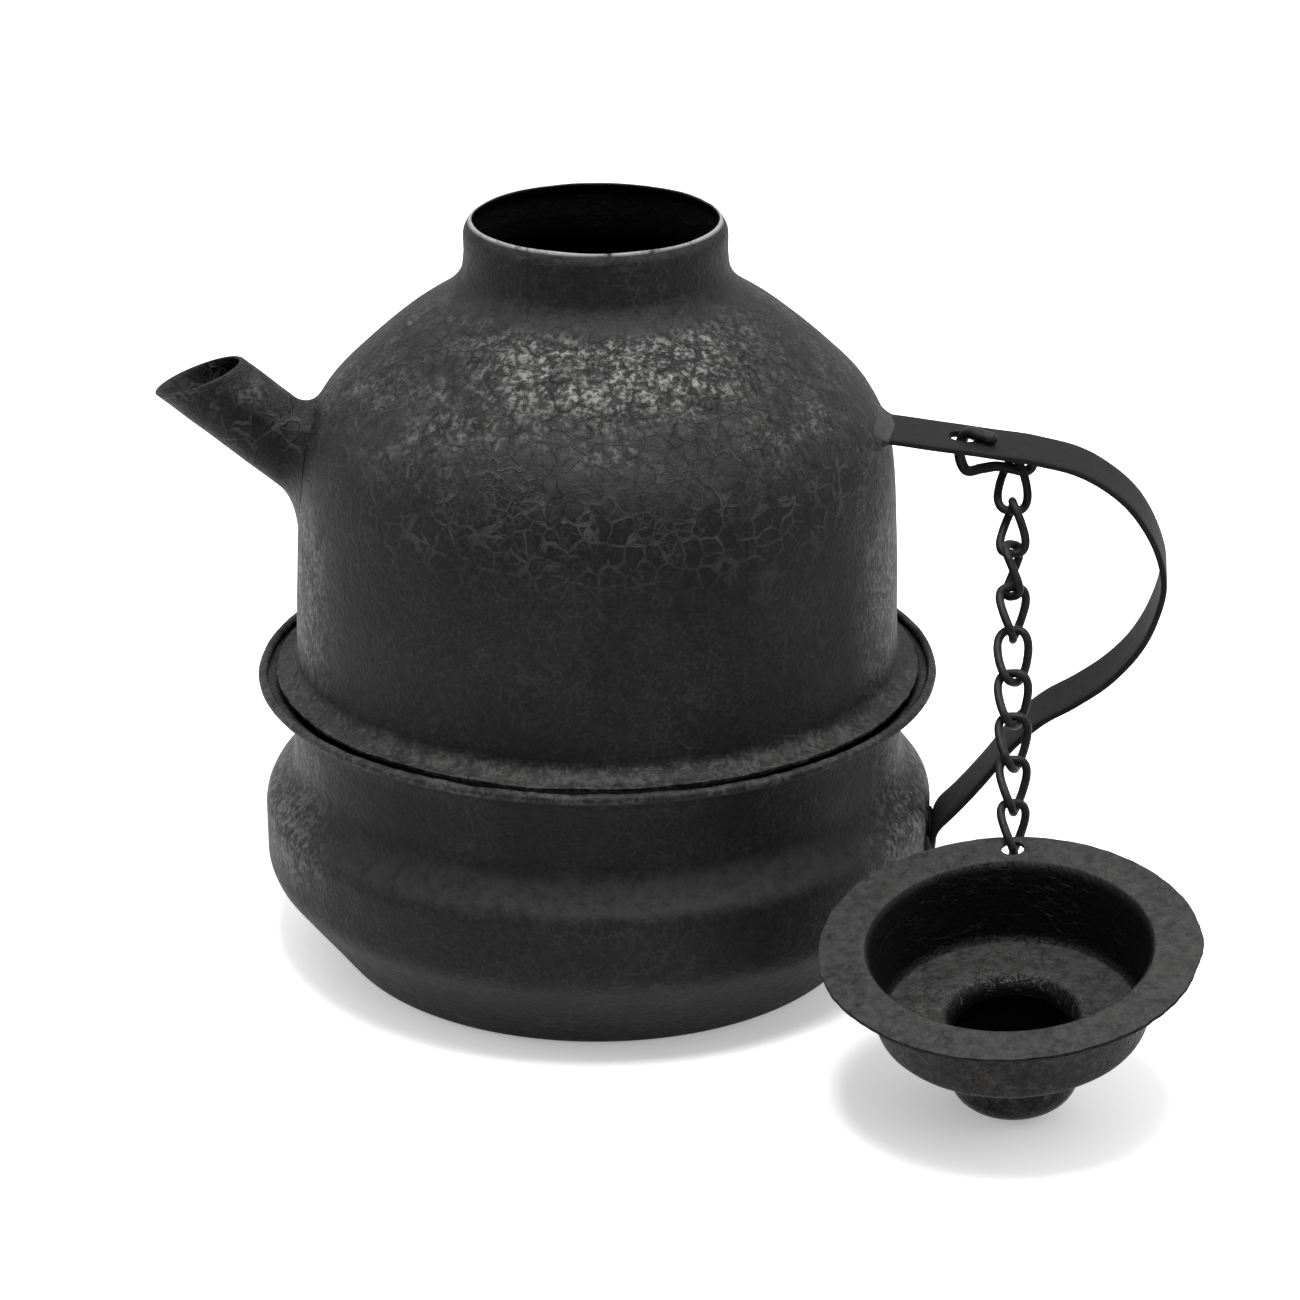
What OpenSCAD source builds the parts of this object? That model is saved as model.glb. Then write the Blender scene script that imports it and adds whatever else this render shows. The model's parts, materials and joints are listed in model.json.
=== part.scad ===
// Sheet-steel pouring kettle: a bowl and a dome joined at a rolled seam, with an angled spout, a strap
// handle, and a cap that hangs on a twisted-link chain. The cap stands upside down on its knob.
// Origin: centre of the flat base. +Z up, the spout points to -X, the handle to +X. Millimetres.

/* [Sheet] */
// Thickness of the pressed steel sheet
sheet = 0.9; // [0.7:0.1:1.1]

/* [Bowl] */
// Radius where the flat base starts to turn up
base_r = 63; // [60:0.5:65]
// Largest radius of the bowl
bulge_r = 84.3; // [83:0.1:85]
// Radius of the waist under the seam
waist_r = 76.5; // [76:0.1:77]
// Outer radius of the rolled seam
seam_r = 85; // [84.8:0.1:85.5]
// Height of the middle of the seam
seam_z = 74.1; // [74:0.1:74.5]

/* [Dome] */
// Radius of the dome's wall at its foot
wall_r = 75.2; // [75:0.1:75.6]
// Outer radius of the filling neck
neck_r = 32; // [31.8:0.1:32.4]
// Height of the neck's rim
rim_z = 190.2; // [189.5:0.1:191]

/* [Spout] */
// Outer diameter of the spout tube
spout_d = 20; // [18:0.5:21]
// Angle of the spout above the horizontal
spout_rise = 39; // [36:0.5:42]
// Slope of the mouth's cut
mouth_slope = 20; // [15:0.5:25]

/* [Handle] */
// Width of the handle strap
strap_w = 19; // [17:0.5:21]
// Thickness of the handle strap
strap_t = 1.5; // [1.2:0.1:1.6]
// Turn of the handle round the kettle
handle_turn = -6; // [-8:0.5:-4]
// Diameter of the hole for the chain hook
hook_hole_d = 7; // [6.6:0.1:7.6]

/* [Chain] */
// Diameter of the chain wire
wire_d = 2.05; // [1.9:0.05:2.1]
// Diameter of the hook wire
hook_d = 2.4; // [2.2:0.1:2.5]
// Half width of a link, between the centres of its two sides
link_half_w = 3.8; // [3.7:0.05:3.9]
// Twist of a link from end to end
link_twist = 80; // [70:1:85]

/* [Cap] */
// Outer radius of the cap's brim
brim_r = 44.7; // [44:0.1:45.5]
// Inner radius of the cap's mouth
mouth_r = 33.5; // [33.2:0.1:34]
// Depth from the brim to the cap's floor
cap_depth = 20.8; // [20:0.1:21.5]
// Height from the brim to the knob's end
knob_depth = 41.5; // [40:0.1:43]
// Outer radius of the knob
knob_r = 15.4; // [14.5:0.1:16]
// Diameter of the chain hole in the brim
brim_hole_d = 5.6; // [5.2:0.1:5.8]
// Radius from the cap's axis to that hole
brim_hole_r = 39.4; // [39:0.1:39.6]

/* [Hidden] */
LINKS = ["chain_link_1", "chain_link_2", "chain_link_3", "chain_link_4", "chain_link_5",
         "chain_link_6", "chain_link_7", "chain_link_8", "chain_link_9"];
$fn = 96;

paint = "#2b2b2c";
worn_paint = "#3a3838";
chain_black = "#1f1f1f";

// The rolled seam: the bowl's edge folds over the dome's foot
fold_r = 1.5 * sheet + 0.05;
foot_top_z = seam_z + sheet / 2;
foot_fillet_r = 6.4;

// The neck's straight wall starts at this height, and its rim curls in at the top
neck_foot_z = 181.5;
rim_in = 1.6;
rim_drop = 3.7;

// Spout axis, and how far the tube is drawn each way before it is cut to length
spout_wall = 1;
spout_root = [-73.2, 0, 130.1];
spout_reach = 31;
spout_in = 14;
spout_out = 50;
spout_turn = [0, spout_rise - 90, 0];

// Straight top of the handle strap, seen from the side: [distance from the axis, height]
strap_top_in = [78, 138.4];
strap_top_out = [106, 135.2];
strap_slope = atan2(strap_top_in[1] - strap_top_out[1], strap_top_out[0] - strap_top_in[0]);
hook_hole_x = 89.8;
hook_hole_z = strap_top_in[1] - (hook_hole_x - strap_top_in[0]) * tan(strap_slope);

// Blunt point of the strap's foot: where its cuts start and how steep they are
foot_point_z = 24;
foot_point_angle = 52;

// Where the first link hangs on the hook, in the hook's own axes
hang_point = [13.2, 0, -6.4];

// The cap as it stands: tilted towards its chain hole's far side, its knob's edge on the ground
cap_tilt = [8.84, -4.53, 0];
cap_xy = [96.5, -98.8];
knob_corner_r = 4;
cap_lean = acos(cos(cap_tilt[0]) * cos(cap_tilt[1]));
cap_z = (knob_depth - knob_corner_r) * cos(cap_lean) + (knob_r - knob_corner_r) * sin(cap_lean)
        + knob_corner_r + 0.05;
brim_hole_turn = 83.7;
web_r = (brim_hole_r + brim_hole_d / 2 + brim_r) / 2;

// The chain runs straight from the hook to the web between the brim's hole and its edge
run_gap = 0.17;
link_overlap = wire_d + run_gap;
hook_overlap = (wire_d + hook_d) / 2 + run_gap;
web_slack = wire_d / 2 + 1.9;
hang = turn_z(handle_turn, to_strap(hang_point));
web = cap_point([web_r * cos(brim_hole_turn), web_r * sin(brim_hole_turn), -sheet / 2]);
run = web - hang;
link_half_l = (norm(run) + web_slack + hook_overlap + 8 * link_overlap) / 18;
link_pitch = 2 * link_half_l - link_overlap;
link_up = -run / norm(run);
link_side = unit([1, 0, 0] - link_up[0] * link_up);
link_back = cross(link_up, link_side);
link_squareness = 2.6;
link_spins = [-35, -58, -96, -134, -165, -157, -148, -138, -128];

// ---- functions ----

function unit(v) = v / norm(v);
function turn_z(a, p) = [cos(a) * p[0] - sin(a) * p[1], sin(a) * p[0] + cos(a) * p[1], p[2]];
function turn_y(a, p) = [cos(a) * p[0] + sin(a) * p[2], p[1], cos(a) * p[2] - sin(a) * p[0]];
function turn_x(a, p) = [p[0], cos(a) * p[1] - sin(a) * p[2], sin(a) * p[1] + cos(a) * p[2]];
function to_strap(p) = [hook_hole_x, 0, hook_hole_z] + turn_y(strap_slope, p);
function cap_point(p) = [cap_xy[0], cap_xy[1], cap_z] + turn_y(cap_tilt[1], turn_x(cap_tilt[0], p));

// Points on an arc from angle a0 to a1
function arc(centre, r, a0, a1, steps = 8) =
    [for (i = [0:steps]) centre + r * [cos(a0 + (a1 - a0) * i / steps), sin(a0 + (a1 - a0) * i / steps)]];

// A smooth curve through the points p, with the given steps between neighbours
function curve(p, steps) = concat([for (i = [0:len(p) - 2]) each
    let (a = p[max(i - 1, 0)], b = p[i], c = p[i + 1], d = p[min(i + 2, len(p) - 1)])
    [for (k = [0:steps - 1]) let (t = k / steps)
        0.5 * (2 * b + (c - a) * t + (2 * a - 5 * b + 4 * c - d) * t * t
        + (3 * b - a - 3 * c + d) * t * t * t)]], [p[len(p) - 1]]);

// A sheet of thickness t whose outer face follows the path; the outside is on the path's right
function right_of(path, i) =
    let (d = path[min(i + 1, len(path) - 1)] - path[max(i - 1, 0)]) unit([d[1], -d[0]]);
function sheet_outline(path, t) =
    concat(path, [for (i = [len(path) - 1:-1:0]) path[i] - t * right_of(path, i)]);

// A round wire along a path; ref is a vector for each point that is never along the wire
module wire(path, ref, d, closed, sides = 8) {
    n = len(path);
    function ahead(i) = closed ? path[(i + 1) % n] : path[min(i + 1, n - 1)];
    function behind(i) = closed ? path[(i + n - 1) % n] : path[max(i - 1, 0)];
    points = [for (i = [0:n - 1]) each
        let (t = unit(ahead(i) - behind(i)), u = unit(ref[i] - (ref[i] * t) * t), v = cross(t, u))
        [for (k = [0:sides - 1]) path[i] + d / 2 * (cos(360 * k / sides) * u + sin(360 * k / sides) * v)]];
    function id(i, k) = (i % n) * sides + k % sides;
    skin = [for (i = [0:n - (closed ? 1 : 2)]) for (k = [0:sides - 1]) each
        [[id(i, k), id(i + 1, k), id(i, k + 1)], [id(i, k + 1), id(i + 1, k), id(i + 1, k + 1)]]];
    ends = closed ? [] : [[for (k = [0:sides - 1]) id(0, k)], [for (k = [sides - 1:-1:0]) id(n - 1, k)]];
    polyhedron(points = points, faces = concat(skin, ends));
}

// ---- kettle body ----

// Outer face of the bowl, from the middle of its base to the folded edge
turn_r = 8;
side_slope = 38;
shoulder_turn = 40;
bulge_low_z = 27.6;
bulge_high_z = 38.7;
shoulder_run = (bulge_r - waist_r - 2 * turn_r * (1 - cos(shoulder_turn))) / sin(shoulder_turn);
waist_z = bulge_high_z + 2 * turn_r * sin(shoulder_turn) + shoulder_run * cos(shoulder_turn);
fold_x = seam_r - fold_r;
fold_end_x = fold_x - 2;
flare_r = fold_x - waist_r;
bowl_face = concat([[0, 0]],
    arc([base_r, 5], 5, -90, -side_slope),
    arc([bulge_r - 10, bulge_low_z], 10, -side_slope, 0),
    arc([bulge_r - turn_r, bulge_high_z], turn_r, 0, shoulder_turn),
    arc([waist_r + turn_r, waist_z], turn_r, 180 + shoulder_turn, 180),
    arc([fold_x, seam_z - fold_r - flare_r], flare_r, 180, 92),
    arc([fold_x, seam_z], fold_r, -90, 90),
    [[fold_end_x, seam_z + fold_r]]);

// Outer face of the dome, from its foot in the seam to the neck's rim
dome_face = concat([[fold_x, foot_top_z]],
    arc([wall_r + foot_fillet_r, foot_top_z + foot_fillet_r], foot_fillet_r, 270, 182),
    curve([[wall_r, foot_top_z + foot_fillet_r], [74.4, 106], [72.8, 131], [68.1, 144], [58.8, 154.3],
           [47, 164.5], [37.2, 171.2], [33, 176.2], [neck_r, neck_foot_z]], 5),
    [[neck_r, rim_z - rim_drop], [neck_r - rim_in / 2, rim_z - rim_drop / 2], [neck_r - rim_in, rim_z]]);

module base_bowl() {
    color(paint) rotate_extrude() polygon(sheet_outline(bowl_face, sheet));
}

// Everything inside the dome's outer face
module dome_volume() {
    rotate_extrude() polygon(concat([[0, foot_top_z]], dome_face, [[0, rim_z]]));
}

module along_spout() {
    translate(spout_root) rotate(spout_turn) children();
}

module dome_shell() {
    color(paint) difference() {
        rotate_extrude() polygon(sheet_outline(dome_face, sheet));
        along_spout() translate([0, 0, -spout_in]) cylinder(d = spout_d - 2 * spout_wall, h = 2 * spout_in);
    }
}

module spout_tube() {
    mouth = spout_root + spout_reach * [-cos(spout_rise), 0, sin(spout_rise)];
    color(paint) difference() {
        along_spout() translate([0, 0, -spout_in]) cylinder(d = spout_d, h = spout_in + spout_out);
        along_spout() translate([0, 0, -spout_in - 1])
            cylinder(d = spout_d - 2 * spout_wall, h = spout_in + spout_out + 2);
        translate(mouth) rotate([0, -mouth_slope, 0])
            translate([-spout_out, -spout_out, 0]) cube(2 * spout_out);
        dome_volume();
    }
}

// Fillet of braze where the spout meets the dome
module spout_braze() {
    r = spout_d / 2;
    foot_w = 8;
    hollow_r = 9;
    top_z = 10;
    bottom_z = -16;
    color(worn_paint) difference() {
        along_spout() rotate_extrude()
            polygon(concat([[r, bottom_z], [r + foot_w, bottom_z]],
                           arc([r + hollow_r, top_z], hollow_r, 225, 180)));
        along_spout() translate([0, 0, bottom_z - 1]) cylinder(r = r, h = top_z - bottom_z + 2);
        dome_volume();
    }
}

// ---- handle ----

module on_handle() {
    rotate([0, 0, handle_turn]) children();
}

// Outer face of the strap, from its foot on the bowl up and over to the dome
strap_face = concat(
    curve([[bulge_r + 1.7, 25.5], [bulge_r + 1.8, 31], [87.2, 35.2], [91.5, 40.2], [99.2, 49.8], [105, 58.2],
           [112, 65.2], [120, 70.4], [128, 76.6], [134.5, 84.2], [138.8, 93.2], [140.8, 103], [138.6, 112.6],
           [133.2, 121.8], [125.8, 128.5], [117, 132.8], strap_top_out], 4),
    [strap_top_in, [70.2, 139.3]]);

module handle_strap() {
    color(chain_black) on_handle() difference() {
        rotate([90, 0, 0]) linear_extrude(strap_w, center = true)
            polygon(sheet_outline(strap_face, strap_t));
        // the chain hook's hole, square to the strap
        translate([hook_hole_x, 0, hook_hole_z]) rotate([0, strap_slope, 0])
            cylinder(d = hook_hole_d, h = 10, center = true);
        // the foot's end is cut to a blunt point
        for (side = [-1, 1]) translate([bulge_r - 4.3, side * strap_w / 2, foot_point_z])
            rotate([side * foot_point_angle, 0, 0]) translate([0, -10, -5]) cube([12, 20, 8]);
        rotate([0, 0, -handle_turn]) dome_volume();
    }
}

// Fillet of braze under the strap where it meets the dome, over most of the strap's width
module handle_top_braze() {
    size = 3.4;
    sweep = 12;
    inward = 6.65;
    hollow = [1.8, -1.3];
    wall_lean = 0.95;
    corner = strap_top_in + [-inward, inward * tan(strap_slope) - strap_t];
    color(worn_paint) rotate([0, 0, handle_turn - sweep / 2]) rotate_extrude(angle = sweep)
        polygon([corner, corner + [size, -size * tan(strap_slope)], corner + hollow,
                 corner + [wall_lean, -size]]);
}

// Beads of braze along both edges of the foot, between the flat strap and the round bowl
module handle_foot_braze() {
    bead = 3;
    bead_z = 28.5;
    bead_l = 6;
    color(worn_paint) on_handle() difference() {
        for (side = [-1, 1]) translate([0, 0, bead_z]) linear_extrude(bead_l)
            polygon([[bulge_r - bead, side * strap_w / 2], [bulge_r + bead / 2, side * strap_w / 2],
                     [bulge_r - bead, side * (strap_w / 2 + bead)]]);
        translate([0, 0, bead_z - 1]) cylinder(r = bulge_r, h = bead_l + 2, $fn = 720);
    }
}

// ---- chain ----

hook_path = curve([[7.2, -3.6, 1.75], [4, -2.2, 1.75], [1.3, -0.7, 1.5], [0, 0, -0.6], [0, 0, -5],
                   [2.2, 0, -8.5], [5.8, 0, -7.4], [9.4, 0, -6.3], hang_point, [16.2, 0, -6.6], [17.7, 0, -5.2],
                   [17.6, 0, -3.6]], 4);

module chain_hook() {
    color(chain_black) on_handle() translate([hook_hole_x, 0, hook_hole_z]) rotate([0, strap_slope, 0])
        wire(hook_path, [for (p = hook_path) [0, 1, 0]], hook_d, false);
}

// Centre line of one link: a squared oval, twisted along its length
function soft_power(v) = sign(v) * pow(abs(v), 2 / link_squareness);
link_steps = 36;
link_heights = [for (i = [0:link_steps - 1]) link_half_l * soft_power(sin(360 * i / link_steps))];
link_path = [for (i = [0:link_steps - 1])
    let (x = link_half_w * soft_power(cos(360 * i / link_steps)), z = link_heights[i],
         a = -link_twist * z / (2 * link_half_l))
    [x * cos(a), x * sin(a), z]];
link_refs = [for (z = link_heights) let (a = -link_twist * z / (2 * link_half_l)) [-sin(a), cos(a), 0]];

module chain_link(i) {
    centre = hang - (link_half_l - hook_overlap + i * link_pitch) * link_up;
    color(chain_black) multmatrix([for (k = [0:2]) [link_side[k], link_back[k], link_up[k], centre[k]]])
        rotate([0, 0, link_spins[i]]) wire(link_path, link_refs, wire_d, true);
}

// ---- cap ----

module on_cap() {
    translate([cap_xy[0], cap_xy[1], cap_z]) rotate(cap_tilt) children();
}

module cap_shell() {
    edge_r = 1;
    floor_r = 3;
    cup_draft = 1.3;
    inner_face = concat([[brim_r, 0]],
        arc([mouth_r + edge_r, -edge_r], edge_r, 90, 180, 4),
        arc([mouth_r - cup_draft - floor_r, -cap_depth + floor_r], floor_r, 0, -90, 6),
        [[knob_r + 0.05, -cap_depth]]);
    color(worn_paint) on_cap() difference() {
        rotate_extrude() polygon(sheet_outline(inner_face, -sheet));
        rotate([0, 0, brim_hole_turn]) translate([brim_hole_r, 0, -3]) cylinder(d = brim_hole_d, h = 6);
    }
}

module cap_knob() {
    outer_face = concat([[0, -knob_depth]],
        arc([knob_r - knob_corner_r, -knob_depth + knob_corner_r], knob_corner_r, -90, 0),
        [[knob_r, -cap_depth]]);
    color(worn_paint) on_cap() rotate_extrude() polygon(sheet_outline(outer_face, sheet));
}

module cap_knob_braze() {
    under = -cap_depth - sheet;
    size = 2;
    color(worn_paint) on_cap() rotate_extrude()
        polygon(concat([[knob_r, under]], arc([knob_r + size, under - size], size, 90, 180, 5)));
}

base_bowl();
dome_shell();
spout_tube();
spout_braze();
handle_strap();
handle_top_braze();
handle_foot_braze();
chain_hook();
for (i = [0:8]) chain_link(i);
cap_shell();
cap_knob();
cap_knob_braze();
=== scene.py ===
import json
import math

import bmesh
import bpy
import numpy as np
from mathutils import Matrix, Vector, noise


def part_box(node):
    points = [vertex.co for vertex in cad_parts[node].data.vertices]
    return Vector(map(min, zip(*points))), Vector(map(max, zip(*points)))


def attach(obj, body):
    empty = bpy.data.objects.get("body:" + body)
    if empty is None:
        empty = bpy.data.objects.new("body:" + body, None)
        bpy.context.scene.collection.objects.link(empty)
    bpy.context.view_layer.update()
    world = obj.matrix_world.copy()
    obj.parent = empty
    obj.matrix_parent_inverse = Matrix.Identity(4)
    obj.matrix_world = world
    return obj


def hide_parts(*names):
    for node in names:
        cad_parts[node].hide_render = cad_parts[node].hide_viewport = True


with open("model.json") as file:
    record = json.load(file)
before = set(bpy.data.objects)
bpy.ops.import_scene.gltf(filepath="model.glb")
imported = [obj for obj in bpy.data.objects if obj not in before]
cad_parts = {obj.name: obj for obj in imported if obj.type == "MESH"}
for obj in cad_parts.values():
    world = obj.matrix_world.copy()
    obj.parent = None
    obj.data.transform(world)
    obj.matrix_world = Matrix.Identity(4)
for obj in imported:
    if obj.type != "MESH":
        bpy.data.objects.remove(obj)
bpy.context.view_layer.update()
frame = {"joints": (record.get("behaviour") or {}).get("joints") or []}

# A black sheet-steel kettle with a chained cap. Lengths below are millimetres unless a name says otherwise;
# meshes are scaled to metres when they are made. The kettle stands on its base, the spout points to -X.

MM = 0.001


def high(node):
    """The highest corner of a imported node's box."""
    return np.array(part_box(node)[1]) / MM


JOINTS = {j["name"]: np.array(j["pos_m"]) / MM for j in frame["joints"]}

# ---------------------------------------------------------------- design sizes

SHEET = 0.9
RIM_Z = high("dome_shell")[2]
SEAM_R = high("base_bowl")[0]
SEAM_Z = 74.1
NECK_R = 32.0
WALL_R = 75.2
BASE_R = 63.0
BULGE_R = 84.3
WAIST_R = 76.5

SPOUT_ROOT = np.array([-73.2, 0, 130.1])
SPOUT_RISE = math.radians(39)
SPOUT_AXIS = np.array([-math.cos(SPOUT_RISE), 0, math.sin(SPOUT_RISE)])
SPOUT_R = 10.0
SPOUT_WALL = 1.0
SPOUT_REACH = 31.0
SPOUT_BURIED = 3.0
MOUTH_SLOPE = math.radians(20)

STRAP_W = 19.0
STRAP_T = 1.5
HANDLE_TURN = math.radians(-6)
STRAP_TOP_IN = (78, 138.4)
STRAP_TOP_OUT = (106, 135.2)
STRAP_SLOPE = math.atan2(STRAP_TOP_IN[1] - STRAP_TOP_OUT[1], STRAP_TOP_OUT[0] - STRAP_TOP_IN[0])
HOOK_HOLE = JOINTS["hook_swivel"]
HOOK_HOLE_R = 3.5

WIRE_R = 1.025
HOOK_R = 1.2
LINK_HALF_W = 3.8
LINK_TWIST = math.radians(80)
LINK_SQUARENESS = 3.2
LINK_SPINS = [-35, -58, -96, -134, -165, -157, -148, -138, -128]
RUN_GAP = 0.17
WIRE_SWELL = 1.045   # the visible round wire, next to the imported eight-sided one
HOOK_SWELL = 1.32    # the hook at its top end
HOOK_THINNING = 0.27

BRIM_R = 44.7
MOUTH_R = 33.5
CAP_DEPTH = 20.8
KNOB_DEPTH = 41.5
KNOB_R = 15.4
KNOB_CORNER = 4.0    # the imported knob's corner, which sets how high the standing cap is
KNOB_ROUND = 5.6     # the visible knob's rounder corner
BRIM_HOLE_R = 39.4
BRIM_HOLE_D = 5.6
BRIM_HOLE_TURN = math.radians(83.7)
BRIM_BEND_TURN = -0.12
BRIM_BEND_WIDTH = 0.16
CAP_TILT = (math.radians(8.84), math.radians(-4.53))
CAP_XY = (96.5, -98.8)
CAP_LEAN = math.acos(math.cos(CAP_TILT[0]) * math.cos(CAP_TILT[1]))
CAP_Z = ((KNOB_DEPTH - KNOB_CORNER) * math.cos(CAP_LEAN) + (KNOB_R - KNOB_CORNER) * math.sin(CAP_LEAN)
         + KNOB_CORNER + 0.05)

# ---------------------------------------------------------------- curves and meshes


def arc(centre, r, a0, a1, steps=10):
    angles = np.radians(np.linspace(a0, a1, steps + 1))
    return [(centre[0] + r * math.cos(a), centre[1] + r * math.sin(a)) for a in angles]


def curve(points, steps):
    """A smooth curve through the points, with the given steps between neighbours."""
    p = [np.array(q, float) for q in points]
    out = []
    for i in range(len(p) - 1):
        a, b, c, d = p[max(i - 1, 0)], p[i], p[i + 1], p[min(i + 2, len(p) - 1)]
        for k in range(steps):
            t = k / steps
            out.append(0.5 * (2 * b + (c - a) * t + (2 * a - 5 * b + 4 * c - d) * t ** 2
                              + (3 * b - a - 3 * c + d) * t ** 3))
    return out + [p[-1]]


def resample(path, step):
    """The same path with points no further apart than step. Its own points stay."""
    out = [np.array(path[0], float)]
    for a, b in zip(path, path[1:]):
        a, b = np.array(a, float), np.array(b, float)
        n = max(1, math.ceil(np.linalg.norm(b - a) / step))
        out += [a + (b - a) * k / n for k in range(1, n + 1)]
    return out


def sheet_outline(path, t, round_start=False, round_end=True):
    """The outline of a sheet of thickness t whose outer face is the path, with the outside on its right."""
    p = np.array(path, float)
    ahead = np.vstack([p[1:], p[-1:]])
    behind = np.vstack([p[:1], p[:-1]])
    d = ahead - behind
    d /= np.linalg.norm(d, axis=1)[:, None]
    outward = np.stack([d[:, 1], -d[:, 0]], 1)
    inner = p - t * outward

    def edge(i, direction):
        middle = (p[i] + inner[i]) / 2
        across = (p[i] - inner[i]) / 2
        return [middle + across * math.cos(a) + direction * t / 2 * math.sin(a)
                for a in np.linspace(0, math.pi, 6)[1:-1]]

    end = edge(-1, d[-1]) if round_end else []
    start = edge(0, -d[0])[::-1] if round_start else []
    return list(p) + end + list(inner[::-1]) + start


def add_object(name, vertices, faces):
    mesh = bpy.data.meshes.new(name)
    mesh.from_pydata([tuple(v) for v in np.array(vertices) * MM], [], faces)
    mesh.validate()
    piece = bpy.data.objects.new(name, mesh)
    bpy.context.scene.collection.objects.link(piece)
    tidy(piece)
    return piece


def tidy(piece, sharp_deg=40):
    """Joins doubled points, turns the faces outwards and sets smooth shading with sharp edges."""
    bm = bmesh.new()
    bm.from_mesh(piece.data)
    bmesh.ops.remove_doubles(bm, verts=bm.verts, dist=2e-6)
    bmesh.ops.dissolve_degenerate(bm, edges=bm.edges, dist=1e-7)
    bmesh.ops.recalc_face_normals(bm, faces=bm.faces)
    bm.to_mesh(piece.data)
    bm.free()
    piece.data.shade_smooth()
    piece.data.set_sharp_from_angle(angle=math.radians(sharp_deg))


def grid_faces(rows, columns, close_rows, close_columns):
    """Quads between the points of a grid that is stored row by row."""
    faces = []
    for i in range(rows if close_rows else rows - 1):
        for k in range(columns if close_columns else columns - 1):
            a, b = i * columns, ((i + 1) % rows) * columns
            k2 = (k + 1) % columns
            faces.append((a + k, a + k2, b + k2, b + k))
    return faces


def rough(p, size, seed):
    """Smooth noise between about -1 and 1 at a point in millimetres, for features of that size."""
    return noise.noise(Vector(p) / size + Vector((seed, 2 * seed, 3 * seed)))


def clamp(value):
    return max(0.0, min(1.0, value))


def revolve(name, outline, steps, shape=None, place=None):
    """Turns a closed outline of (radius, height) round the Z axis. shape moves each point, place puts it."""
    o = np.array(outline)
    turns = np.linspace(0, 2 * math.pi, steps, endpoint=False)
    points = np.stack([np.outer(o[:, 0], np.cos(turns)), np.outer(o[:, 0], np.sin(turns)),
                       np.repeat(o[:, 1][:, None], steps, 1)], 2).reshape(-1, 3)
    if shape:
        points = np.array([shape(p) for p in points])
    if place:
        points = np.array([place(p) for p in points])
    return add_object(name, points, grid_faces(len(o), steps, True, True))


def tube(name, path, radius, sides=14, closed=False, refs=None, round_ends=True):
    """A round wire along a path. radius is a number or a function of the point's index and position."""
    p = np.array(path, float)
    n = len(p)
    size = radius if callable(radius) else (lambda i, q: radius)
    ahead = np.roll(p, -1, 0) if closed else np.vstack([p[1:], p[-1:]])
    behind = np.roll(p, 1, 0) if closed else np.vstack([p[:1], p[:-1]])
    t = ahead - behind
    t /= np.linalg.norm(t, axis=1)[:, None]
    u = np.array(refs[0] if refs is not None else (0, 1, 0), float)
    rings = []
    for i in range(n):
        if refs is not None:
            u = np.array(refs[i], float)
        u = u - np.dot(u, t[i]) * t[i]
        u /= np.linalg.norm(u)
        v = np.cross(t[i], u)
        rings.append([(u * math.cos(a) + v * math.sin(a)) for a in np.arange(sides) * 2 * math.pi / sides])
    points = [p[i] + size(i, p[i]) * w for i in range(n) for w in rings[i]]
    faces = grid_faces(n, sides, closed, True)
    if not closed:
        for end, sign in ((0, -1), (n - 1, 1)):
            r = size(end, p[end])
            first = len(points)
            if round_ends:
                for lift in (0.5, 0.85):
                    points += [p[end] + r * math.sqrt(1 - lift ** 2) * w + sign * 0.7 * r * lift * t[end]
                               for w in rings[end]]
                bands = [end * sides, first, first + sides]
                for a, b in zip(bands, bands[1:]):
                    faces += [(a + k, a + (k + 1) % sides, b + (k + 1) % sides, b + k) for k in range(sides)]
                last = bands[-1]
            else:
                last = end * sides
            points.append(p[end] + sign * (0.7 * r if round_ends else 0) * t[end])
            faces += [(last + k, last + (k + 1) % sides, len(points) - 1) for k in range(sides)]
    return add_object(name, points, faces)


def cut(piece, cutter):
    """Takes the cutter's volume out of the piece."""
    m = piece.modifiers.new("cut", "BOOLEAN")
    m.operation = "DIFFERENCE"
    m.solver = "EXACT"
    m.object = cutter
    bpy.context.view_layer.update()
    mesh = bpy.data.meshes.new_from_object(piece.evaluated_get(bpy.context.evaluated_depsgraph_get()))
    piece.modifiers.clear()
    old = piece.data
    piece.data = mesh
    mesh.name = old.name
    bpy.data.meshes.remove(old)
    bpy.data.objects.remove(cutter)
    tidy(piece)


def bore(centre, axis, r, length, sides=64):
    """A round cutter, centred on a point."""
    axis = np.array(axis, float) / np.linalg.norm(axis)
    half = axis * length / 2
    return tube("cutter", [np.array(centre) - half, np.array(centre) + half], r, sides=sides,
                refs=[np.roll(axis, 1) + (0.01, 0.02, 0.03)] * 2, round_ends=False)


def place_piece(piece, body, slot, material, *nodes):
    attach(piece, body)
    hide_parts(*nodes)
    piece.data.materials.clear()
    piece.data.materials.append(material)
    return piece


# ---------------------------------------------------------------- materials


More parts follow.
